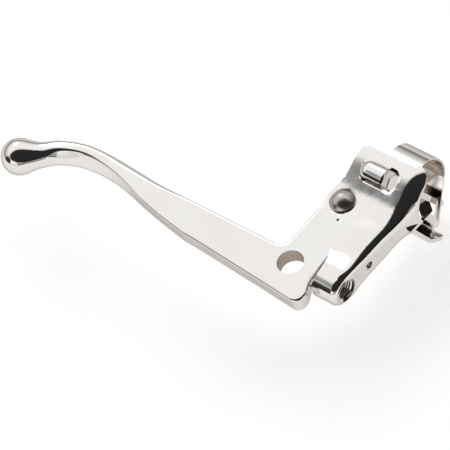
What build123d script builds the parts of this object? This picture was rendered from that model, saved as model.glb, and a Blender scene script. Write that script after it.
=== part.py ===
from build123d import *
import os
from math import atan2, cos, radians, sin

# Ball-end clutch lever on a pressed-steel bracket, for a one-inch handlebar. Millimetres.
# Origin: on the bar's axis, midway along the clamp strap.
# +X runs along the bar away from the lever's ball, +Y from the lever to the bar,
# +Z square to the plane that the lever turns in.

# ---------------------------------------------------------------- driving dimensions
bar_radius = 12.7            # one-inch handlebar
bar_gap = 0.3                # between bar and bracket, the liner alone touches the bar
pivot_x = -15.0              # lever pivot, seen along Z
pivot_y = -26.5

# lever
lever_thickness = 8.2
lever_edge_round = 1.2
lever_end_radius = 9.6       # rounded end about the pivot
arm_inner_y = -56.0          # long arm's edge that faces the bar
elbow_radius = 5.0
heel_x = -3.0
heel_y = -77.0             # corner of the heel before it is rounded
plate_end_x = -77.0          # where the flat arm turns into the round blade
nipple_radius = 6.0          # cross hole for the cable's barrel nipple
nipple_x = -18.7
nipple_y = -61.0
cable_slot_thickness = 2.8
cable_slot_height = 6.5
cable_slot_length = 40.0     # runs out past the heel
ball_radius = 8.3
ball_x = -161.7
ball_y = -73.0

# pivot
rivet_radius = 4.0
bush_radius = 5.0
running_gap = 0.05           # radial gap between rivet and bush
washer_radius = 7.5
side_gap = 0.1               # axial gap each side of a thrust washer
rivet_head_radius = 5.9
rivet_head_rim = 0.7
rivet_head_height = 4.0
rivet_tail_radius = 5.2
rivet_tail_height = 2.4
burr_thickness = 1.2
burr_radius = 6.2

# bracket
sheet = 1.8
cheek_half = 7.8             # half the channel's outside width
spine_x = 9.4                # outer face of the channel's back, near the tip
spine_round = 3.0
tip_y = -59.5                # axis of the rounded tip and of the cable bush
cheek_edge_radius = 8.2      # cheek edge about the pivot
tip_edge_x = -2.8
saddle_end_x = 15.0          # open end of the saddle
shoulder_edge_x = -19.4      # edge of the saddle on the lever's side
shoulder_corner = 6.0
flange_edge_y = 1.2
rear_edge_y = -4.5
lock_hole_radius = 1.9
lock_hole_y = -44.0
oil_hole_radius = 0.65
oil_hole_x = -11.1
oil_hole_y = -35.2

# strap
strap_half_width = 8.25
liner_thickness = 0.5
strap_thickness = 0.8
liner_half_width = 8.6
strap_gap = 0.1              # between strap and saddle
tail_angle = -28.0           # where the band leaves the bar, from +Y towards +Z
tail_length = 27.5
eye_angle = 129.0
eye_inner_radius = 2.6
eye_slit = 0.7               # where the rolled tongue meets the band again
eye_slit_angle = -11.0
eye_start_x = -8.25
eye_end_x = -2.3
shoulder_angle = 100.0       # full width ends here, only the tongue goes on to the eye

# fasteners
anchor_radius = 2.5
anchor_flats = 7.6           # one flat faces the bar
anchor_head_height = 3.6
anchor_head_x = -1.9
anchor_tip_x = -14.5
tunnel_wall = 1.4
tunnel_gap = 0.2
window_radius = 5.8          # window in the shoulder about the anchor screw's head
window_length = 6.2
tunnel_start_x = -15.0
tunnel_slit = 1.1            # slit below the tunnel, left where it is pressed out
clamp_radius = 3.0
clamp_flats = 10.0
clamp_head_height = 4.0
clamp_nut_height = 5.0
lock_washer_thickness = 1.4
lock_washer_radius = 5.2
clamp_reach = 18.0           # bolt's distance from the bar's axis, along the tail
clamp_gap = 3.2              # between strap tail and lug
lug_half_width = 9.0
lug_reach = 27.5
lug_clearance = 8.0          # room over the box beside the lug
bolt_end = 1.4               # thread showing past the nut

# cable bush
cable_bush_radius = 5.8
cable_thread_radius = 5.2
cable_bush_start_x = -2.4
cable_bush_floor = 2.4
cable_hole_radius = 1.6

# ---------------------------------------------------------------- derived sizes
strap_inner = bar_radius + liner_thickness
strap_outer = strap_inner + strap_thickness
groove_radius = strap_outer + strap_gap
cheek_inner = cheek_half - sheet
eye_outer_radius = eye_inner_radius + strap_thickness
tunnel_radius = eye_outer_radius + tunnel_gap
eye_distance = strap_inner + strap_thickness / 2 + eye_inner_radius + strap_thickness / 2
eye_y = eye_distance * cos(radians(eye_angle))
eye_z = eye_distance * sin(radians(eye_angle))
lug_top = strap_inner - clamp_gap
lug_bottom = lug_top - sheet
washer_thickness = cheek_inner - lever_thickness / 2 - 2 * side_gap

# The tail's own directions in the YZ plane: "up" is square to it, away from the lug,
# and "out" runs along it, away from the bar.
up = (cos(radians(tail_angle)), sin(radians(tail_angle)))
out = (up[1], -up[0])
up_axis = Axis((0, 0, 0), (0, up[0], up[1]))


def tail_point(height, reach):
    """Point in the YZ plane, height above the bar's axis and reach along the tail."""
    return (height * up[0] + reach * out[0], height * up[1] + reach * out[1])


def tail_plane(height):
    """Plane parallel to the strap's tail, on the clamp bolt's axis, facing the nut."""
    y, z = tail_point(height, clamp_reach)
    return Plane(origin=(0, y, z), x_dir=(1, 0, 0), z_dir=(0, up[0], up[1]))


bar_section = Plane.YZ       # square to the bar; its x is Y and its y is Z

# ---------------------------------------------------------------- lever
# (x, y, width, depth, corner radius, heading in degrees) of the blade's sections
blade_stations = [
    (plate_end_x + 2.0, -63.3, 14.0, 7.7, lever_edge_round, 180),
    (-84.0, -62.7, 13.4, 8.4, 2.2, 178),
    (-91.3, -61.9, 12.3, 8.9, 3.4, 174),
    (-98.0, -61.1, 11.3, 9.2, 4.3, 171),
    (-106.0, -59.9, 10.6, 9.4, 4.55, 172),
    (-116.0, -59.0, 10.3, 9.6, 4.65, 178),
    (-127.0, -58.8, 10.3, 9.6, 4.65, 182),
    (-137.2, -60.0, 10.5, 9.7, 4.7, 195),
    (-146.6, -63.3, 10.9, 10.2, 5.0, 208),
]
neck_heading = 213.0
# (distance from the ball's centre, radius) down the neck and into the ball
neck_stations = [(10.0, 5.4), (7.0, 5.6), (4.0, 5.7)]


def blade_plane(x, y, heading):
    """Plane across the blade: its x runs in the lever's plane, its y along Z."""
    angle = radians(heading)
    forward = (cos(angle), sin(angle), 0)
    return Plane(origin=(x, y, 0), x_dir=(-forward[1], forward[0], 0), z_dir=forward)


# (x, y, corner radius) round the flat arm, from the pivot's left side, by way of the heel
left_x = pivot_x - lever_end_radius
right_x = pivot_x + lever_end_radius
arm_corners = [
    (left_x, pivot_y, 0),
    (left_x - 1.6, arm_inner_y, elbow_radius),
    (plate_end_x, arm_inner_y, 0),
    (plate_end_x, -70.6, 0),
    (-70.5, -71.7, 8.0),
    (-60.0, -72.3, 12.0),
    (heel_x, heel_y, 3.8),
    (heel_x, -71.0, 3.0),
    (right_x, -65.5, 5.0),
    (right_x, pivot_y, 0),
]

with BuildPart() as lever:
    with BuildSketch(Plane.XY.offset(-lever_thickness / 2)):
        with BuildLine():
            Polyline([(x, y) for x, y, radius in arm_corners], close=True)
        make_face()
        for x, y, radius in arm_corners:
            if radius:
                fillet(vertices().sort_by_distance((x, y))[0], radius)
        with Locations((pivot_x, pivot_y)):
            Circle(lever_end_radius)
    extrude(amount=lever_thickness)
    rims = lever.faces().filter_by(Axis.Z).edges()
    rims = rims.filter_by(lambda e: abs(e.center().X - plate_end_x) > 0.01)
    fillet(rims, radius=lever_edge_round)
    for x, y, width, depth, corner, heading in blade_stations:
        with BuildSketch(blade_plane(x, y, heading)):
            RectangleRounded(width, depth, corner)
    for distance, radius in neck_stations:
        angle = radians(neck_heading)
        x = ball_x - distance * cos(angle)
        y = ball_y - distance * sin(angle)
        with BuildSketch(blade_plane(x, y, neck_heading)):
            RectangleRounded(2 * radius, 2 * radius, 0.98 * radius)
    loft()
    with Locations(blade_plane(ball_x, ball_y, neck_heading)):
        Sphere(ball_radius)
    with Locations((pivot_x, pivot_y, 0)):
        Cylinder(bush_radius, 2 * lever_thickness, mode=Mode.SUBTRACT)
    with Locations((nipple_x, nipple_y, 0)):
        Cylinder(nipple_radius, 2 * lever_thickness, mode=Mode.SUBTRACT)
        Box(cable_slot_length, cable_slot_height, cable_slot_thickness,
            align=(Align.MIN, Align.CENTER, Align.CENTER), mode=Mode.SUBTRACT)
lever.part.label = "lever"

# ---------------------------------------------------------------- pivot
with BuildPart() as pivot_bush:
    with Locations((pivot_x, pivot_y, 0)):
        Cylinder(bush_radius, lever_thickness)
        Cylinder(rivet_radius + running_gap, 2 * lever_thickness, mode=Mode.SUBTRACT)
    chamfer(pivot_bush.edges().filter_by(GeomType.CIRCLE), 0.2)
pivot_bush.part.label = "pivot_bush"


def thrust_washer(base_z):
    """Flat washer round the rivet, its lower face at base_z."""
    with BuildPart() as washer:
        with BuildSketch(Plane.XY.offset(base_z)):
            with Locations((pivot_x, pivot_y)):
                Circle(washer_radius)
                Circle(rivet_radius + 2 * running_gap, mode=Mode.SUBTRACT)
        extrude(amount=washer_thickness)
        chamfer(washer.edges().filter_by(GeomType.CIRCLE).group_by(SortBy.RADIUS)[-1], 0.2)
    return washer.part


thrust_washer_front = thrust_washer(lever_thickness / 2 + side_gap)
thrust_washer_front.label = "thrust_washer_front"
thrust_washer_rear = thrust_washer(-cheek_inner + side_gap)
thrust_washer_rear.label = "thrust_washer_rear"

tail_base_z = -cheek_half - burr_thickness
with BuildPart() as rivet_washer:
    with BuildSketch(Plane.XY.offset(tail_base_z)):
        with Locations((pivot_x, pivot_y)):
            Circle(burr_radius)
            Circle(rivet_radius, mode=Mode.SUBTRACT)
    extrude(amount=burr_thickness)
    chamfer(rivet_washer.edges().filter_by(GeomType.CIRCLE).group_by(SortBy.RADIUS)[-1], 0.25)
rivet_washer.part.label = "rivet_washer"


def cap_middle(radius, height):
    """Radius and height of a point halfway round a spherical cap, from its base."""
    sphere = (radius ** 2 + height ** 2) / (2 * height)
    half_angle = 0.5 * atan2(radius, sphere - height)
    return (sphere * sin(half_angle), sphere * cos(half_angle) - (sphere - height))


with BuildPart() as pivot_rivet:
    with BuildSketch(Plane.XZ.offset(-pivot_y)):
        with BuildLine():
            head_z = cheek_half + rivet_head_rim
            dome_radius = rivet_head_radius - 0.4
            dome_x, dome_rise = cap_middle(dome_radius, rivet_head_height - rivet_head_rim)
            form_z = tail_base_z - 0.5
            form_x, form_rise = cap_middle(rivet_tail_radius, rivet_tail_height - 0.5)
            Polyline(
                (pivot_x + dome_radius, head_z),
                (pivot_x + rivet_head_radius, head_z - 0.25),
                (pivot_x + rivet_head_radius, cheek_half),
                (pivot_x + rivet_radius, cheek_half),
                (pivot_x + rivet_radius, tail_base_z),
                (pivot_x + rivet_tail_radius, tail_base_z),
                (pivot_x + rivet_tail_radius, form_z),
            )
            ThreePointArc(
                (pivot_x + rivet_tail_radius, form_z),
                (pivot_x + form_x, form_z - form_rise),
                (pivot_x, tail_base_z - rivet_tail_height),
            )
            Line((pivot_x, tail_base_z - rivet_tail_height), (pivot_x, cheek_half + rivet_head_height))
            ThreePointArc(
                (pivot_x, cheek_half + rivet_head_height),
                (pivot_x + dome_x, head_z + dome_rise),
                (pivot_x + dome_radius, head_z),
            )
        make_face()
    revolve(axis=Axis((pivot_x, pivot_y, 0), (0, 0, 1)))
pivot_rivet.part.label = "pivot_rivet"

# ---------------------------------------------------------------- bracket
# (y, half width, outer face of the back, corner radius) of the channel, tip to saddle
channel_stations = [
    (tip_y, cheek_half, spine_x, spine_round),
    (-50.0, cheek_half, spine_x + 0.6, 3.2),
    (-40.0, cheek_half, spine_x + 1.4, 3.8),
    (-31.0, cheek_half, spine_x + 2.2, 4.4),
    (-24.5, cheek_half, spine_x + 3.0, 4.9),
    (-18.5, 9.3, spine_x + 4.4, 5.8),
    (-13.5, 12.3, spine_x + 6.2, 7.4),
    (-8.5, 15.0, spine_x + 7.8, 9.0),
    (-3.0, 16.4, spine_x + 8.8, 10.0),
    (3.0, 15.7, spine_x + 9.4, 10.0),
    (8.0, 13.5, spine_x + 9.8, 9.5),
]
channel_back = -60.0


def channel(inset):
    """The channel's outside, or its inside when inset is the sheet's thickness."""
    with BuildPart() as body:
        for y, half, x, corner in channel_stations:
            with BuildSketch(Plane.XZ.offset(-y)):
                with Locations((x - inset, 0)):
                    depth = x - inset - channel_back
                    Rectangle(depth, 2 * (half - inset), align=(Align.MAX, Align.CENTER))
                fillet(vertices().group_by(Axis.X)[-1], corner - inset)
        loft()
        with BuildSketch(Plane.XZ.offset(-tip_y)):
            half = cheek_half - inset
            with Locations((spine_x - inset, 0)):
                Rectangle(spine_x - inset - channel_back, half, align=(Align.MAX, Align.MIN))
            fillet(vertices().group_by(Axis.X)[-1].sort_by(Axis.Y)[-1], spine_round - inset)
        revolve(axis=Axis((0, tip_y, 0), (1, 0, 0)), revolution_arc=180)
    return body.part


def rear_box(inset):
    """Folded box behind the saddle: sloping wall, rounded outer fold and lug under the tail."""
    with BuildPart() as body:
        with BuildSketch(bar_section.offset(-lug_half_width)):
            with BuildLine():
                corner = tail_point(lug_top, lug_reach)
                Polyline((-20.5, -2), (-12.6, -21.0), corner, tail_point(lug_top, 1.0), close=True)
            make_face()
            fillet(vertices().sort_by_distance(corner)[0], 3.0)
            if inset:
                offset(amount=-inset, mode=Mode.REPLACE)
        extrude(amount=lug_half_width + saddle_end_x)
    return body.part


# Cheek edge that faces the lever: down from the flange's corner, round the pivot,
# then slanting across the channel's mouth to the tip
cheek_round_start = 172.0
cheek_round_middle = 195.0
cheek_round_end = 218.0


def cheek_point(degrees):
    """Point of the cheek's round edge about the pivot."""
    angle = radians(degrees)
    return (pivot_x + cheek_edge_radius * cos(angle), pivot_y + cheek_edge_radius * sin(angle))


def cheek_direction(degrees):
    """Direction of the cheek's round edge there, anticlockwise."""
    return (-sin(radians(degrees)), cos(radians(degrees)))


clear = 60.0                 # reach of the cutting shapes past the sheet


def tunnel(radius, start_x, end_x):
    """Round-ended rod along the anchor screw's axis."""
    with BuildPart() as rod:
        with BuildSketch(bar_section.offset(start_x + radius)):
            with Locations((eye_y, eye_z)):
                Circle(radius)
        extrude(amount=end_x - start_x - radius)
        with Locations((start_x + radius, eye_y, eye_z)):
            Sphere(radius)
    return rod.part


def head_window():
    """Round window in the shoulder about the anchor screw's head."""
    with BuildPart() as window:
        with BuildSketch(bar_section.offset(anchor_head_x)):
            with Locations((eye_y, eye_z)):
                Circle(window_radius)
        extrude(amount=window_length)
        fillet(window.edges().filter_by(GeomType.CIRCLE).sort_by(Axis.X)[-1], 4.0)
    return window.part


def bar_space():
    """Room for the bar, and for the strap and liner round it."""
    with BuildPart() as space:
        Cylinder(bar_radius + bar_gap, 2 * clear, rotation=(0, 90, 0))
        Cylinder(groove_radius, 2 * (liner_half_width + 0.3), rotation=(0, 90, 0))
    return space.part


def screw_tunnel():
    """Pressed tunnel: closed and tapped at its round end, open to the strap and at the screw's head."""
    with BuildPart() as shell:
        add(tunnel(tunnel_radius + tunnel_wall, tunnel_start_x, anchor_head_x))
        with BuildSketch(bar_section.offset(eye_start_x - 1.0)):
            with Locations((eye_y, eye_z)):
                Circle(tunnel_radius)
        extrude(amount=30, mode=Mode.SUBTRACT)
        with BuildSketch(bar_section.offset(anchor_tip_x)):
            with Locations((eye_y, eye_z)):
                Circle(anchor_radius)
        extrude(amount=10, mode=Mode.SUBTRACT)
        add(bar_space(), mode=Mode.SUBTRACT)
    return shell.part


with BuildPart() as bracket:
    add(channel(0))
    # top edges of the saddle, with a round corner at the open end
    for height, edge_y, corner in ((clear, flange_edge_y, 7.0), (-clear, rear_edge_y, 4.0)):
        with BuildSketch(Plane.XY):
            with BuildLine():
                corner_x = saddle_end_x - corner
                corner_y = edge_y - corner
                Line((-clear, edge_y), (corner_x, edge_y))
                RadiusArc((corner_x, edge_y), (saddle_end_x, corner_y), corner)
                Polyline((saddle_end_x, corner_y), (saddle_end_x, -2 * clear), (clear, -2 * clear))
                Polyline((clear, -2 * clear), (clear, clear), (-clear, clear), (-clear, edge_y))
            make_face()
        extrude(amount=height, mode=Mode.SUBTRACT)
    add(rear_box(0))
    # inside of the channel and of the box
    add(channel(sheet), mode=Mode.SUBTRACT)
    add(rear_box(sheet), mode=Mode.SUBTRACT)
    add(bar_space(), mode=Mode.SUBTRACT)
    # lever side
    with BuildSketch(Plane.XY.offset(-clear)):
        with BuildLine():
            corner_x = shoulder_edge_x + shoulder_corner
            corner_y = flange_edge_y - shoulder_corner
            Line((corner_x, clear), (corner_x, flange_edge_y))
            RadiusArc((corner_x, flange_edge_y), (shoulder_edge_x, corner_y), -shoulder_corner)
            Line((shoulder_edge_x, corner_y), (shoulder_edge_x - 0.4, -12.0))
            round_start = cheek_point(cheek_round_start)
            round_end = cheek_point(cheek_round_end)
            Spline(
                (shoulder_edge_x - 0.4, -12.0),
                round_start,
                tangents=((-0.05, -1), cheek_direction(cheek_round_start)),
            )
            ThreePointArc(round_start, cheek_point(cheek_round_middle), round_end)
            Spline(
                round_end,
                (-11.7, -40.3),
                (-6.9, -46.6),
                (tip_edge_x, -57.0),
                tangents=(cheek_direction(cheek_round_end), (0, -1)),
            )
            Polyline((tip_edge_x, -57.0), (tip_edge_x, -clear - 30), (-clear - 30, -clear - 30))
            Polyline((-clear - 30, -clear - 30), (-clear - 30, clear), (corner_x, clear))
        make_face()
    extrude(amount=2 * clear, mode=Mode.SUBTRACT)
    # flat seats for the rivet's head and the burr washer
    for side in (1, -1):
        with Locations((pivot_x, pivot_y, side * (cheek_half + 5))):
            Cylinder(burr_radius + 0.3, 10, mode=Mode.SUBTRACT)
    # holes: rivet, oil, cable bush, lock screw and clamp bolt
    with Locations((pivot_x, pivot_y, 0)):
        Cylinder(rivet_radius, 2 * clear, mode=Mode.SUBTRACT)
    with Locations((oil_hole_x, oil_hole_y, cheek_half)):
        Cylinder(oil_hole_radius, 2 * sheet, mode=Mode.SUBTRACT)
    with Locations((spine_x, tip_y, 0)):
        Cylinder(cable_bush_radius, 4 * sheet, rotation=(0, 90, 0), mode=Mode.SUBTRACT)
    with Locations((spine_x, lock_hole_y, 0)):
        Cylinder(lock_hole_radius, 2 * sheet + 1, rotation=(0, 90, 0), mode=Mode.SUBTRACT)
    with Locations(tail_plane(lug_top)):
        Cylinder(clamp_radius + 0.2, 3 * sheet, mode=Mode.SUBTRACT)
    # front shoulder: window, and the tunnel over its slot
    add(head_window(), mode=Mode.SUBTRACT)
    with BuildSketch(bar_section.offset(eye_start_x - 1.0)):
        with Locations((eye_y, eye_z)):
            Circle(tunnel_radius)
    extrude(amount=anchor_head_x - eye_start_x + 1.0, mode=Mode.SUBTRACT)
    with BuildSketch(bar_section.offset(anchor_tip_x)):
        with Locations((eye_y, eye_z)):
            Circle(anchor_radius)
    extrude(amount=10, mode=Mode.SUBTRACT)
    add(screw_tunnel())
    slit_start_x = tunnel_start_x + 2.4
    with Locations((slit_start_x, eye_y - tunnel_radius - tunnel_wall + 0.3, eye_z - 0.8)):
        Box(anchor_head_x - slit_start_x, tunnel_slit, 5.0,
            align=(Align.MIN, Align.CENTER, Align.CENTER), mode=Mode.SUBTRACT)
    # the lug is narrower than the box's outer wall
    with Locations(tail_plane(lug_bottom - tunnel_gap)):
        with Locations((lug_half_width, 0, 0)):
            Box(clear, 2 * clear, lug_clearance,
                align=(Align.MIN, Align.CENTER, Align.MIN), mode=Mode.SUBTRACT)
bracket.part.label = "bracket"


# ---------------------------------------------------------------- strap and liner
def band_sector(inner, outer, start, end):
    """Stretch of a ring about the bar, between two angles from +Y towards +Z."""
    reach = 4 * outer
    middle = (start + end) / 2
    Circle(outer)
    Circle(inner, mode=Mode.SUBTRACT)
    angles = [radians(a) for a in (start, middle, end)]
    corners = [(0, 0)] + [(reach * cos(a), reach * sin(a)) for a in angles]
    Polygon(corners, align=None, mode=Mode.INTERSECT)


with BuildPart() as clamp_strap:
    with BuildSketch(bar_section.offset(-strap_half_width)):
        band_sector(strap_inner, strap_outer, tail_angle, shoulder_angle)
        tail = [(strap_inner, 0), (strap_inner, tail_length), (strap_outer, tail_length), (strap_outer, 0)]
        Polygon([tail_point(height, reach) for height, reach in tail], align=None)
    extrude(amount=2 * strap_half_width)
    with BuildSketch(bar_section.offset(eye_start_x)):
        band_sector(strap_inner, strap_outer, shoulder_angle - 2, eye_angle)
        with Locations((eye_y, eye_z)):
            Circle(eye_outer_radius)
            Circle(eye_inner_radius, mode=Mode.SUBTRACT)
        slit = radians(eye_slit_angle)
        slit_reach = eye_inner_radius + strap_thickness / 2
        with Locations((eye_y + slit_reach * cos(slit), eye_z + slit_reach * sin(slit))):
            Rectangle(2 * strap_thickness, eye_slit, rotation=eye_slit_angle, mode=Mode.SUBTRACT)
    extrude(amount=eye_end_x - eye_start_x)
    tail_end = clamp_strap.edges().filter_by(lambda e: abs(e.length - strap_thickness) < 0.01)
    tail_end = tail_end.sort_by(Axis.Z)[:2]
    fillet(tail_end, 3.0)
    with Locations(tail_plane(strap_inner)):
        Cylinder(clamp_radius + 0.2, 4.0, mode=Mode.SUBTRACT)
clamp_strap.part.label = "clamp_strap"

with BuildPart() as strap_liner:
    with BuildSketch(bar_section.offset(-liner_half_width)):
        band_sector(bar_radius, strap_inner, tail_angle, eye_angle - 12.0)
    extrude(amount=2 * liner_half_width)
strap_liner.part.label = "strap_liner"


# ---------------------------------------------------------------- fasteners
def hexagon(flats, turn=0.0):
    """Regular hexagon, flats apart, as a sketch shape."""
    RegularPolygon(flats / 2, 6, major_radius=False, rotation=turn)


with BuildPart() as anchor_screw:
    with BuildSketch(bar_section.offset(anchor_head_x)):
        with Locations((eye_y, eye_z)):
            hexagon(anchor_flats, eye_angle - 90.0)
    extrude(amount=anchor_head_height)
    with BuildSketch(bar_section.offset(anchor_head_x)):
        with Locations((eye_y, eye_z)):
            Circle(anchor_radius)
    extrude(amount=anchor_tip_x - anchor_head_x)
    chamfer(anchor_screw.edges().filter_by(GeomType.CIRCLE).sort_by(Axis.X)[0], 0.4)
    chamfer(anchor_screw.faces().sort_by(Axis.X)[-1].edges(), 0.35)
anchor_screw.part.label = "anchor_screw"

with BuildPart() as clamp_bolt:
    with BuildSketch(tail_plane(lug_bottom)):
        hexagon(clamp_flats)
    extrude(amount=-clamp_head_height)
    head_face = clamp_bolt.faces().sort_by(up_axis)[0]
    chamfer(head_face.edges(), 0.4)
    with BuildSketch(tail_plane(lug_bottom)):
        Circle(clamp_radius)
    nut_top = strap_outer + lock_washer_thickness + clamp_nut_height
    extrude(amount=nut_top + bolt_end - lug_bottom)
    thread_end = clamp_bolt.edges().filter_by(GeomType.CIRCLE).sort_by(up_axis)[-1]
    chamfer(thread_end, 0.5)
clamp_bolt.part.label = "clamp_bolt"

with BuildPart() as clamp_washer:
    with BuildSketch(tail_plane(strap_outer)):
        Circle(lock_washer_radius)
        Circle(clamp_radius + 0.15, mode=Mode.SUBTRACT)
        with Locations((0, -(lock_washer_radius + clamp_radius) / 2)):
            Rectangle(0.8, 3.0, rotation=20, mode=Mode.SUBTRACT)
    extrude(amount=lock_washer_thickness)
clamp_washer.part.label = "clamp_washer"

with BuildPart() as clamp_nut:
    with BuildSketch(tail_plane(strap_outer + lock_washer_thickness)):
        hexagon(clamp_flats)
        Circle(clamp_radius, mode=Mode.SUBTRACT)
    extrude(amount=clamp_nut_height)
    top_face = clamp_nut.faces().sort_by(up_axis)[-1]
    chamfer(top_face.outer_wire().edges(), 0.5)
clamp_nut.part.label = "clamp_nut"

# ---------------------------------------------------------------- cable bush
with BuildPart() as cable_bush:
    with BuildSketch(bar_section.offset(cable_bush_start_x)):
        with Locations((tip_y, 0)):
            Circle(cable_bush_radius - running_gap)
    extrude(amount=spine_x + 0.3 - cable_bush_start_x)
    chamfer(cable_bush.edges().filter_by(GeomType.CIRCLE).sort_by(Axis.X)[-1], 0.3)
    with BuildSketch(bar_section.offset(cable_bush_start_x + cable_bush_floor)):
        with Locations((tip_y, 0)):
            Circle(cable_thread_radius)
    extrude(amount=20, mode=Mode.SUBTRACT)
    with Locations((0, tip_y, 0)):
        Cylinder(cable_hole_radius, 40, rotation=(0, 90, 0), mode=Mode.SUBTRACT)
cable_bush.part.label = "cable_bush"

# ---------------------------------------------------------------- files
os.makedirs("parts", exist_ok=True)
export_step(lever.part, "parts/lever.step")
export_step(pivot_bush.part, "parts/pivot_bush.step")
export_step(thrust_washer_front, "parts/thrust_washer_front.step")
export_step(thrust_washer_rear, "parts/thrust_washer_rear.step")
export_step(rivet_washer.part, "parts/rivet_washer.step")
export_step(pivot_rivet.part, "parts/pivot_rivet.step")
export_step(bracket.part, "parts/bracket.step")
export_step(clamp_strap.part, "parts/clamp_strap.step")
export_step(strap_liner.part, "parts/strap_liner.step")
export_step(anchor_screw.part, "parts/anchor_screw.step")
export_step(clamp_bolt.part, "parts/clamp_bolt.step")
export_step(clamp_washer.part, "parts/clamp_washer.step")
export_step(clamp_nut.part, "parts/clamp_nut.step")
export_step(cable_bush.part, "parts/cable_bush.step")
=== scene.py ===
import math

import bmesh
import bpy
from mathutils import Matrix, Vector


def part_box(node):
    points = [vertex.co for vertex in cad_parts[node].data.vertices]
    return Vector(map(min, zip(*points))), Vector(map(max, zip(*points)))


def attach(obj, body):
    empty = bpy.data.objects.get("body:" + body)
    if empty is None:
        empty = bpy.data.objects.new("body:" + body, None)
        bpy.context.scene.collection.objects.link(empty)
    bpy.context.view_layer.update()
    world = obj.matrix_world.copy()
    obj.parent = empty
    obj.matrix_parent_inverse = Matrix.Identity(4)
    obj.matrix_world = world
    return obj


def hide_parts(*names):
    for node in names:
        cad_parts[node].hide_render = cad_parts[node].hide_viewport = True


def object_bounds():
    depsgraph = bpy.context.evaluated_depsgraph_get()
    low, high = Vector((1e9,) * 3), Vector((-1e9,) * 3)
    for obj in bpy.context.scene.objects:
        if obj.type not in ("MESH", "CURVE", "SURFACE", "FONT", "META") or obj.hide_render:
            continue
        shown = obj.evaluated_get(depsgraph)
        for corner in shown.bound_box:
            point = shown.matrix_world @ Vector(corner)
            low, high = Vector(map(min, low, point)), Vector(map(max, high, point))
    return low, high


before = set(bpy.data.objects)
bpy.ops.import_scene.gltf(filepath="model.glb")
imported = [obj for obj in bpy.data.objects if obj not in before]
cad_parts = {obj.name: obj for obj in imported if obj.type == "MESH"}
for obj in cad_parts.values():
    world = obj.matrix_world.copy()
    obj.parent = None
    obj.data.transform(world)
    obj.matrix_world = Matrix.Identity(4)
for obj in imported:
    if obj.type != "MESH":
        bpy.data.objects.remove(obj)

MM = 0.001
cad_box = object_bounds()

# ---------------------------------------------------------------- materials
# how a metal's reflection is tinted at a glancing angle: darker and browner than its face
GLANCING_TINT = (0.50, 0.455, 0.42, 1.0)


def new_material(name, colour, metallic, roughness):
    """A Principled material, its shader node, and its node tree."""
    material = bpy.data.materials.new(name)
    material.use_nodes = True
    shader = material.node_tree.nodes["Principled BSDF"]
    shader.inputs["Base Color"].default_value = (*colour, 1.0)
    shader.inputs["Metallic"].default_value = metallic
    shader.inputs["Roughness"].default_value = roughness
    return material, shader, material.node_tree


def noise(tree, scale, detail=3.0):
    """A noise texture in object coordinates, at so many cycles a metre."""
    place = tree.nodes.new("ShaderNodeTexCoord")
    texture = tree.nodes.new("ShaderNodeTexNoise")
    texture.inputs["Scale"].default_value = scale
    texture.inputs["Detail"].default_value = detail
    tree.links.new(place.outputs["Object"], texture.inputs["Vector"])
    return texture.outputs["Fac"]


def spread(tree, value, low, high, start=0.3, end=0.7):
    """The value, from start to end, spread between low and high."""
    node = tree.nodes.new("ShaderNodeMapRange")
    node.inputs["From Min"].default_value = start
    node.inputs["From Max"].default_value = end
    node.inputs["To Min"].default_value = low
    node.inputs["To Max"].default_value = high
    tree.links.new(value, node.inputs["Value"])
    return node.outputs["Result"]


def metal(name, colour, rough, rough_spread, tint, ripple=0.0, ripple_scale=90.0):
    """Metal with cloudy roughness and colour, and a faint ripple from polishing."""
    material, shader, tree = new_material(name, colour, 1.0, rough)
    shader.inputs["Specular Tint"].default_value = GLANCING_TINT
    cloud = spread(tree, noise(tree, 120.0, 4.0), rough - rough_spread, rough + rough_spread)
    tree.links.new(cloud, shader.inputs["Roughness"])
    mix = tree.nodes.new("ShaderNodeMix")
    mix.data_type = "RGBA"
    mix.inputs["A"].default_value = (*colour, 1.0)
    mix.inputs["B"].default_value = (*tint, 1.0)
    tree.links.new(spread(tree, noise(tree, 45.0, 2.0), 0.0, 1.0), mix.inputs["Factor"])
    tree.links.new(mix.outputs["Result"], shader.inputs["Base Color"])
    if ripple:
        node = tree.nodes.new("ShaderNodeBump")
        node.inputs["Distance"].default_value = ripple
        tree.links.new(noise(tree, ripple_scale, 1.0), node.inputs["Height"])
        tree.links.new(node.outputs["Normal"], shader.inputs["Normal"])
    return material


CHROME = metal("chrome", (0.79, 0.775, 0.76), 0.07, 0.02, (0.77, 0.74, 0.715), 0.0001)
CHROME_THIN = metal("chrome_thin", (0.74, 0.72, 0.70), 0.11, 0.04, (0.66, 0.62, 0.58))
BORE = metal("bore_steel", (0.45, 0.40, 0.36), 0.30, 0.08, (0.30, 0.26, 0.23))
STEEL = metal("steel", (0.52, 0.50, 0.48), 0.26, 0.08, (0.42, 0.39, 0.36))
RIVET = metal("rivet_steel", (0.60, 0.57, 0.54), 0.33, 0.05, (0.48, 0.44, 0.41), 0.0001, 500.0)
LINER = metal("liner_steel", (0.46, 0.39, 0.34), 0.24, 0.06, (0.36, 0.29, 0.24))
BRONZE = metal("bronze", (0.58, 0.42, 0.24), 0.30, 0.06, (0.45, 0.30, 0.16))
FINISH = {
    "lever": CHROME,
    "bracket": CHROME,
    "clamp_strap": CHROME_THIN,
    "strap_liner": LINER,
    "anchor_screw": CHROME,
    "clamp_bolt": CHROME_THIN,
    "clamp_nut": CHROME_THIN,
    "clamp_washer": STEEL,
    "thrust_washer_front": STEEL,
    "thrust_washer_rear": STEEL,
    "rivet_washer": STEEL,
    "pivot_rivet": RIVET,
    "pivot_bush": BRONZE,
    "cable_bush": CHROME_THIN,
}


def paint(obj, *materials):
    """The object's only materials."""
    obj.data.materials.clear()
    for material in materials:
        obj.data.materials.append(material)


for name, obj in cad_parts.items():
    paint(obj, FINISH[name])


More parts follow.
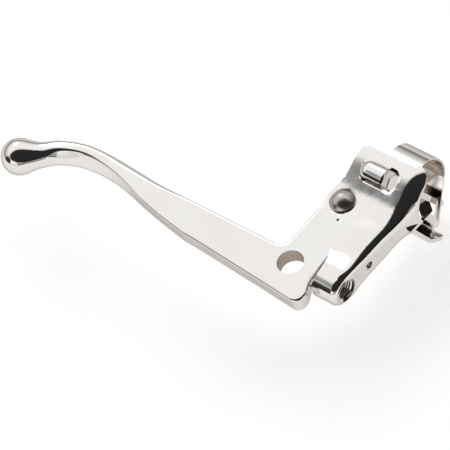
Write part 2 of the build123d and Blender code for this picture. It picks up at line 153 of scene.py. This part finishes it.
# ---------------------------------------------------------------- mesh helpers
def mesh_object(name, vertices, faces):
    """An object from vertices in metres and faces, linked into the scene."""
    mesh = bpy.data.meshes.new(name)
    mesh.from_pydata(vertices, [], faces)
    obj = bpy.data.objects.new(name, mesh)
    bpy.context.scene.collection.objects.link(obj)
    return obj


def smooth(obj, corner=35.0):
    """Smooth shading, except over edges that turn by more than corner degrees."""
    mesh = obj.data
    mesh.polygons.foreach_set("use_smooth", [True] * len(mesh.polygons))
    mesh.set_sharp_from_angle(angle=math.radians(corner))


def ring_faces(rings, count):
    """Quads between so many rings of count points, and a face over the first and the last ring."""
    faces = []
    for k in range(rings - 1):
        a, b = k * count, (k + 1) * count
        faces += [[a + i, a + (i + 1) % count, b + (i + 1) % count, b + i] for i in range(count)]
    faces.append(list(reversed(range(count))))
    faces.append([(rings - 1) * count + i for i in range(count)])
    return faces


def carve(obj, tools, material_index=0):
    """obj less the tools' volumes. The cut faces get the material of the index."""
    for tool in tools:
        tool.data.materials.clear()
        for material in obj.data.materials:
            tool.data.materials.append(material)
        for polygon in tool.data.polygons:
            polygon.material_index = material_index
        cut = obj.modifiers.new("cut", "BOOLEAN")
        cut.operation = "DIFFERENCE"
        cut.solver = "EXACT"
        cut.object = tool
    bpy.context.view_layer.update()
    made = bpy.data.meshes.new_from_object(obj.evaluated_get(bpy.context.evaluated_depsgraph_get()))
    obj.modifiers.clear()
    obj.data = made
    for tool in tools:
        bpy.data.objects.remove(tool)


def rod(name, base, axis, radius, length, segments=72):
    """A closed cylinder from base along axis, in metres."""
    axis = axis.normalized()
    across = axis.orthogonal().normalized()
    up = axis.cross(across)
    circle = [across * math.cos(a) * radius + up * math.sin(a) * radius
              for a in (math.tau * i / segments for i in range(segments))]
    vertices = [base + axis * length * end + p for end in (0, 1) for p in circle]
    return mesh_object(name, vertices, ring_faces(2, segments))


def block(name, low, high):
    """A closed box between two corners, in metres."""
    corners = [Vector((x, y, z)) for z in (low.z, high.z)
               for x, y in ((low.x, low.y), (high.x, low.y), (high.x, high.y), (low.x, high.y))]
    return mesh_object(name, corners, ring_faces(2, 4))


# ---------------------------------------------------------------- lever
# in millimetres, in the frame's X and Y unless a comment says otherwise
pivot = sum(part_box("pivot_bush"), Vector()) / 2 / MM
LEVER_THICKNESS = 8.2
END_RADIUS = 9.6               # round the pivot
EDGE_ROUND = 1.2
BALL = Vector((-161.7, -73.0))
BALL_RADIUS = 8.3
PLATE_END_X = -77.0            # where the flat arm turns into the blade
ARM_INNER_Y = -56.0            # the flat arm's edge on the side of the bar
ARM_OUTER_Y = -70.6            # its other edge, where it turns into the blade
BUSH_RADIUS = 5.0
NIPPLE = Vector((-18.7, -61.0, 0.0))
NIPPLE_RADIUS = 6.0
CUT_LENGTH = 20.0              # of the rods that cut the two holes, right through the arm
# low and high corners of two slots, the first from the nipple's centre
CABLE_SLOT = (Vector((0.0, -3.25, -1.4)), Vector((40.0, 3.25, 1.4)))
EDGE_SLOT = (Vector((-33.5, -80.0, -3.7)), Vector((-19.7, -72.0, -2.9)))


def rounded_line(corners):
    """Points 0.25 mm apart or so along a line through (x, y, corner radius) corners."""
    points = []
    for k, (x, y, radius) in enumerate(corners):
        here = Vector((x, y))
        if radius == 0:
            points.append(here)
            continue
        before = Vector(corners[k - 1][:2]) - here
        after = Vector(corners[k + 1][:2]) - here
        half = before.angle(after) / 2
        reach = radius / math.tan(half)
        start, end = here + before.normalized() * reach, here + after.normalized() * reach
        centre = here + (before.normalized() + after.normalized()).normalized() * radius / math.sin(half)
        first = math.atan2(*(start - centre).yx)
        turn = math.atan2(*(end - centre).yx) - first
        turn = (turn + math.pi) % math.tau - math.pi
        steps = max(4, int(abs(turn) * radius / 0.25))
        angles = [first + turn * i / steps for i in range(steps + 1)]
        points += [centre + radius * Vector((math.cos(a), math.sin(a))) for a in angles]
    return points


def along(points, distance):
    """The point so far along a line of points."""
    for a, b in zip(points, points[1:]):
        step = (b - a).length
        if distance <= step:
            return a.lerp(b, distance / step if step else 0.0)
        distance -= step
    return points[-1]


def length_to(points, place):
    """How far along the line its nearest point to place is."""
    best, total, found = 1e9, 0.0, 0.0
    for a, b in zip(points, points[1:]):
        step = (b - a).length
        t = max(0.0, min(1.0, (place - a).dot(b - a) / step ** 2)) if step else 0.0
        gap = (a.lerp(b, t) - place).length
        if gap < best:
            best, found = gap, total + t * step
        total += step
    return found


def through(stations, steps):
    """Catmull-Rom values through rows of numbers, steps to a stretch."""
    rows = []
    for k in range(len(stations) - 1):
        p0, p1 = stations[max(k - 1, 0)], stations[k]
        p2, p3 = stations[k + 1], stations[min(k + 2, len(stations) - 1)]
        for t in (i / steps for i in range(steps)):
            rows.append([0.5 * (2 * b + (c - a) * t + (2 * a - 5 * b + 4 * c - d) * t * t
                                + (3 * b - a - 3 * c + d) * t ** 3)
                         for a, b, c, d in zip(p0, p1, p2, p3)])
    rows.append(list(stations[-1]))
    return rows


ARC_STEPS = 7
WIDE_STEPS = (0.0, 0.03, 0.12, 0.3, 0.5, 0.7, 0.88, 0.97, 1.0)
DEEP_STEPS = (0.0, 0.06, 0.25, 0.5, 0.75, 0.94, 1.0)


def profile(width, depth, corner, oval, ridge, lean):
    """Points round a section: a rectangle with round corners, its upper outer corner (the
    ridge) moved inwards by lean, the whole blended into an oval by the oval's share."""
    half_w, half_d = width / 2, depth / 2
    corners = [Vector((-half_w, -half_d)), Vector((half_w, -half_d)), Vector((half_w, half_d)),
               Vector((-half_w + lean, half_d))]
    most = 0.49 * min(width - lean, depth)
    radii = [min(corner, most), min(corner, most), min(corner, most), min(ridge, most)]
    arcs = []
    for k, (here, radius) in enumerate(zip(corners, radii)):
        arriving = (here - corners[k - 1]).normalized()
        leaving = (corners[(k + 1) % 4] - here).normalized()
        turn = arriving.angle(leaving)
        start = here - arriving * radius * math.tan(turn / 2)
        centre = start + Vector((-arriving.y, arriving.x)) * radius
        first = math.atan2(*(start - centre).yx)
        arcs.append([centre + radius * Vector((math.cos(first + turn * i / ARC_STEPS),
                                               math.sin(first + turn * i / ARC_STEPS)))
                     for i in range(ARC_STEPS + 1)])
    places = []
    for k in range(4):
        steps = DEEP_STEPS if k % 2 else WIDE_STEPS
        start, end = arcs[k][-1], arcs[(k + 1) % 4][0]
        places += [start.lerp(end, t) for t in steps] + arcs[(k + 1) % 4][1:-1]
    if oval:
        for i, p in enumerate(places):
            angle = math.atan2(p.y / half_d, p.x / half_w)
            places[i] = p.lerp(Vector((half_w * math.cos(angle), half_d * math.sin(angle))), oval)
    return places


INNER_EDGE = rounded_line([
    (pivot.x - END_RADIUS, pivot.y, 0),
    (pivot.x - END_RADIUS - 1.6, ARM_INNER_Y, 5.0),
    (PLATE_END_X, ARM_INNER_Y, 0),
])
OUTER_EDGE = rounded_line([
    (pivot.x + END_RADIUS, pivot.y, 0),
    (pivot.x + END_RADIUS, -65.5, 5.0),
    (-3.0, -71.0, 3.0),
    (-3.0, -77.0, 3.8),
    (-60.0, -72.3, 12.0),
    (-70.5, -71.7, 8.0),
    (PLATE_END_X, ARM_OUTER_Y, 0),
])
# places on the inner and outer edges that face each other, and the sections from each to the next
PAIRS = [
    ((-24.6, -26.5), (-5.4, -26.5), 10),
    ((-26.0, -48.0), (-5.4, -50.0), 12),
    ((-26.2, -51.5), (-5.4, -62.0), 40),
    ((-31.0, ARM_INNER_Y), (-30.0, -74.2), 14),
    ((-50.0, ARM_INNER_Y), (-50.0, -73.0), 16),
    ((PLATE_END_X, ARM_INNER_Y), (PLATE_END_X, ARM_OUTER_Y), 0),
]
# centre x, centre y, width, depth, corner radius, share of oval, ridge radius, lean, heading
BLADE = [
    (PLATE_END_X, -63.3, 14.6, 8.2, EDGE_ROUND, 0.0, EDGE_ROUND, 0.0, 180.0),
    (-84.0, -62.7, 13.6, 8.4, 1.8, 0.0, 1.2, 0.0, 178.0),
    (-91.3, -61.9, 12.4, 8.8, 2.4, 0.0, 1.25, 0.15, 174.0),
    (-98.0, -61.1, 11.4, 9.1, 2.8, 0.0, 1.3, 0.6, 171.0),
    (-106.0, -60.0, 10.7, 9.3, 3.2, 0.02, 1.35, 1.8, 172.0),
    (-116.0, -59.1, 10.4, 9.5, 3.5, 0.04, 1.4, 3.4, 178.0),
    (-127.0, -58.9, 10.3, 9.5, 3.6, 0.04, 1.45, 4.8, 182.0),
    (-137.2, -60.1, 10.5, 9.8, 3.7, 0.06, 1.6, 5.0, 195.0),
    (-146.6, -63.4, 10.9, 10.3, 4.2, 0.26, 2.1, 4.5, 208.0),
]
NECK_DEGREES = 213.0
NECK_HEADING = math.radians(NECK_DEGREES)
NECK_CORNER = 4.2
NECK_RIDGE = 2.4
NECK_LEAN = 4.5
# distance from the ball's centre, radius and share of oval, down the neck onto the ball
NECK = [
    (11.8, 5.5, 0.6),
    (9.6, 5.75, 0.8),
    (7.8, 6.15, 0.92),
    (6.0, 6.75, 1.0),
    (4.4, 7.3, 1.0),
    (2.8, 7.85, 1.0),
    (1.2, 8.2, 1.0),
]
END_STEPS = 14                 # sections round the pivot end
BLADE_STEPS = 8                # sections from one blade station to the next
BALL_STEPS = 24                # sections over the ball


def lever_rings():
    """Rings of points, in millimetres, from the pivot end to the far side of the ball."""
    rings = []

    def add(inner, outer, depth, corner, oval=0.0, ridge=EDGE_ROUND, lean=0.0):
        across = inner - outer
        centre = (inner + outer) / 2
        width = across.length
        across = across.normalized()
        section = profile(width, depth, corner, oval, ridge, lean)
        rings.append([Vector((*(centre + across * p.x), p.y)) for p in section])

    # round end about the pivot
    for i in range(1, END_STEPS):
        angle = math.pi / 2 * (1 - i / END_STEPS)
        inner = pivot.xy + END_RADIUS * Vector((-math.cos(angle), math.sin(angle)))
        outer = pivot.xy + END_RADIUS * Vector((math.cos(angle), math.sin(angle)))
        inset = END_RADIUS * (1 - math.sin(angle))
        drop = max(EDGE_ROUND - inset, 0.0)
        sink = EDGE_ROUND - math.sqrt(max(EDGE_ROUND ** 2 - drop ** 2, 0.0))
        add(inner, outer, 2 * (LEVER_THICKNESS / 2 - sink), EDGE_ROUND)
    # flat arm
    for (a_in, a_out, steps), (b_in, b_out, _) in zip(PAIRS, PAIRS[1:]):
        s0, s1 = (length_to(INNER_EDGE, Vector(place)) for place in (a_in, b_in))
        r0, r1 = (length_to(OUTER_EDGE, Vector(place)) for place in (a_out, b_out))
        for t in (i / steps for i in range(steps)):
            add(along(INNER_EDGE, s0 + (s1 - s0) * t), along(OUTER_EDGE, r0 + (r1 - r0) * t),
                LEVER_THICKNESS, EDGE_ROUND)
    # blade and neck
    neck = [(BALL.x - distance * math.cos(NECK_HEADING), BALL.y - distance * math.sin(NECK_HEADING),
             2 * radius, 2 * radius, NECK_CORNER, oval, NECK_RIDGE + 2 * oval, NECK_LEAN * (1 - oval),
             NECK_DEGREES) for distance, radius, oval in NECK]
    for x, y, width, depth, corner, oval, ridge, lean, heading in through(BLADE + neck, BLADE_STEPS):
        angle = math.radians(heading)
        side = Vector((math.sin(angle), -math.cos(angle))) * width / 2
        add(Vector((x, y)) + side, Vector((x, y)) - side, depth, corner, max(0.0, min(1.0, oval)),
            ridge, max(0.0, lean))
    # ball
    start = math.acos(NECK[-1][0] / BALL_RADIUS)
    forward = Vector((math.cos(NECK_HEADING), math.sin(NECK_HEADING)))
    for i in range(1, BALL_STEPS):
        angle = start + (math.pi - start) * i / BALL_STEPS
        centre = BALL - forward * BALL_RADIUS * math.cos(angle)
        radius = BALL_RADIUS * math.sin(angle)
        side = Vector((forward.y, -forward.x)) * radius
        add(centre + side, centre - side, 2 * radius, 0.49 * radius, 1.0, 0.49 * radius)
    return rings


def build_lever():
    """The lever: one sweep, less its bush hole, nipple hole, cable slot and edge slot."""
    rings = lever_rings()
    count = len(rings[0])
    points = [p * MM for ring in rings for p in ring]
    lever = mesh_object("lever_blade", points, ring_faces(len(rings), count))
    paint(lever, CHROME, BORE)
    work = bmesh.new()
    work.from_mesh(lever.data)
    bmesh.ops.recalc_face_normals(work, faces=work.faces)
    work.to_mesh(lever.data)
    work.free()
    z = Vector((0, 0, 1))
    deep = Vector((0, 0, -CUT_LENGTH / 2)) * MM
    bush_low, bush_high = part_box("pivot_bush")
    bush = (bush_low + bush_high).xy.to_3d() / 2
    nipple = NIPPLE * MM
    carve(lever, [
        rod("bush_hole", bush + deep, z, BUSH_RADIUS * MM, CUT_LENGTH * MM),
        rod("nipple_hole", nipple + deep, z, NIPPLE_RADIUS * MM, CUT_LENGTH * MM, 96),
        block("cable_slot", nipple + CABLE_SLOT[0] * MM, nipple + CABLE_SLOT[1] * MM),
        block("edge_slot", EDGE_SLOT[0] * MM, EDGE_SLOT[1] * MM),
    ], 1)
    smooth(lever)
    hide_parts("lever")
    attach(lever, "lever")


build_lever()


# ---------------------------------------------------------------- other pieces
def soften(node, width):
    """Rounds a sheet node's cut edges a little, with modifiers over its own mesh."""
    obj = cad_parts[node]
    weld = obj.modifiers.new("weld", "WELD")
    weld.merge_threshold = 0.001 * MM
    bevel = obj.modifiers.new("bevel", "BEVEL")
    bevel.width = width * MM
    bevel.segments = 3
    bevel.limit_method = "ANGLE"
    bevel.angle_limit = math.radians(40)
    normals = obj.modifiers.new("normals", "WEIGHTED_NORMAL")
    normals.weight = 100


soften("bracket", 0.4)
soften("clamp_strap", 0.15)


def build_thread(name, axis_point, start_x, end_x, major, minor, pitch):
    """A helical ridge inside a hole along X, from its wall inwards, in millimetres."""
    steps = 48
    sections = int((end_x - start_x) / pitch * steps) + 1
    base = major + 0.05
    ridge = ((-0.45, base), (-0.06, minor), (0.06, minor), (0.45, base))
    points = []
    for i in range(sections):
        angle = math.tau * i / steps
        x = start_x + pitch * i / steps
        for share_of_pitch, radius in ridge:
            points.append(Vector((x + share_of_pitch * pitch, axis_point.y + radius * math.cos(angle),
                                  axis_point.z + radius * math.sin(angle))) * MM)
    thread = mesh_object(name, points, ring_faces(sections, len(ridge)))
    smooth(thread)
    paint(thread, CHROME_THIN)
    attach(thread, "bracket")


THREAD_MAJOR = 5.2             # radius at the hole's wall
THREAD_MINOR = 4.65            # radius at the ridge's crest
THREAD_PITCH = 1.2
THREAD_INSETS = (3.2, 0.9)     # how far it stops short of the bush's low end and its high end
bush_low, bush_high = (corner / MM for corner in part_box("cable_bush"))
build_thread("cable_bush_thread", (bush_low + bush_high) / 2, bush_low.x + THREAD_INSETS[0],
             bush_high.x - THREAD_INSETS[1], THREAD_MAJOR, THREAD_MINOR, THREAD_PITCH)


# ---------------------------------------------------------------- floor, light and camera
# the camera's axes, the point it looks at, how far off it stands and how much it takes in
RIGHT = Vector((0.778, 0.590, -0.217)).normalized()
BACK = Vector((0.488, -0.350, 0.800)).normalized()
UP = BACK.cross(RIGHT).normalized()
SHIFT_RIGHT = 0.645 * MM
SHIFT_DOWN = 1.118 * MM
TARGET = Vector((-58.8, -56.8, 0.0)) * MM + SHIFT_RIGHT * RIGHT - SHIFT_DOWN * UP
DISTANCE = 3.0
VIEW_WIDTH = 193.5 * MM

FLOOR_REACH = 3.0
floor_z = cad_box[0].z - 2 * MM
floor = mesh_object("floor", [(x * FLOOR_REACH, y * FLOOR_REACH, floor_z)
                              for x, y in ((-1, -1), (1, -1), (1, 1), (-1, 1))], [(0, 1, 2, 3)])
floor_material, floor_shader, _ = new_material("floor", (0.9, 0.9, 0.9), 0.0, 0.9)
floor_shader.inputs["Emission Color"].default_value = (1.0, 0.99, 0.98, 1.0)
floor_shader.inputs["Emission Strength"].default_value = 0.57
paint(floor, floor_material)

world = bpy.data.worlds.new("studio")
bpy.context.scene.world = world
world.use_nodes = True
tree = world.node_tree
background = tree.nodes["Background"]
background.inputs["Color"].default_value = (1.0, 1.0, 1.0, 1.0)


def share(direction):
    """Cosine of the angle between the light's direction and another."""
    place = tree.nodes.new("ShaderNodeTexCoord")
    dot = tree.nodes.new("ShaderNodeVectorMath")
    dot.operation = "DOT_PRODUCT"
    dot.inputs[1].default_value = direction
    tree.links.new(place.outputs["Generated"], dot.inputs[0])
    return dot.outputs["Value"]


def maths(operation, a, b=0.0):
    """A Math node of one or two inputs, each a socket or a number."""
    node = tree.nodes.new("ShaderNodeMath")
    node.operation = operation
    for socket, value in zip(node.inputs, (a, b)):
        if isinstance(value, (int, float)):
            socket.default_value = value
        else:
            tree.links.new(value, socket)
    return node.outputs["Value"]


def ramp(value, start, end, low, high):
    """value eased from low at start to high at end."""
    node = tree.nodes.new("ShaderNodeMapRange")
    node.interpolation_type = "SMOOTHSTEP"
    for socket, number in zip(("From Min", "From Max", "To Min", "To Max"), (start, end, low, high)):
        node.inputs[socket].default_value = number
    tree.links.new(value, node.inputs["Value"])
    return node.outputs["Result"]


def spot(direction, full, none, strength):
    """A round patch: strength out to full degrees from the direction, 0 from none degrees on."""
    towards = share(Vector(direction).normalized())
    return ramp(towards, math.cos(math.radians(none)), math.cos(math.radians(full)), 0.0, strength)


# A big dark screen with a domed top and bottom stands round the camera, in degrees from it.
SCREEN_SIDE = 8                # its middle, to the right
SCREEN_HALF_WIDTH = 75
SCREEN_TOP = 50
SCREEN_BOTTOM = 41
SCREEN_DARK = 0.975            # share of the walls' light that it takes away

side = maths("ARCTAN2", share(RIGHT), share(BACK))
height = maths("ARCSINE", share(UP))
across = maths("SUBTRACT", side, math.radians(SCREEN_SIDE))
across = maths("DIVIDE", across, math.radians(SCREEN_HALF_WIDTH))
above = maths("DIVIDE", maths("MAXIMUM", height, 0.0), math.radians(SCREEN_TOP))
below = maths("DIVIDE", maths("MINIMUM", height, 0.0), math.radians(SCREEN_BOTTOM))
squares = [maths("MULTIPLY", part, part) for part in (across, above, below)]
from_middle = maths("SQRT", maths("ADD", squares[0], maths("ADD", squares[1], squares[2])))
screen = ramp(from_middle, 0.84, 1.04, 1.0, 0.0)
# a second, small and low screen stands to the left of the first
screen = maths("MAXIMUM", screen, spot((-0.53, -0.82, 0.20), 14, 22, 0.95))

# walls that brighten upwards, a lamp over the bar and a low fill before the lever
walls = ramp(share(Vector((0, 0, 1))), -0.02, 0.62, 0.22, 1.08)
walls = maths("ADD", walls, spot((-0.62, 0.52, 0.60), 7, 15, 1.6))
walls = maths("ADD", walls, spot((0.05, -1.0, 0.0), 20, 32, 0.6))
light = maths("MULTIPLY", walls, maths("SUBTRACT", 1.0, maths("MULTIPLY", screen, SCREEN_DARK)))
tree.links.new(light, background.inputs["Strength"])

camera_data = bpy.data.cameras.new("camera")
camera_data.sensor_width = 36.0
camera_data.lens = camera_data.sensor_width * DISTANCE / VIEW_WIDTH
camera_data.clip_start = 0.05
camera_data.clip_end = 20.0
camera = bpy.data.objects.new("camera", camera_data)
bpy.context.scene.collection.objects.link(camera)
turn = Matrix((RIGHT, UP, BACK)).transposed().to_4x4()
camera.matrix_world = Matrix.Translation(TARGET + BACK * DISTANCE) @ turn
bpy.context.scene.camera = camera
bpy.context.scene.view_settings.view_transform = "Standard"
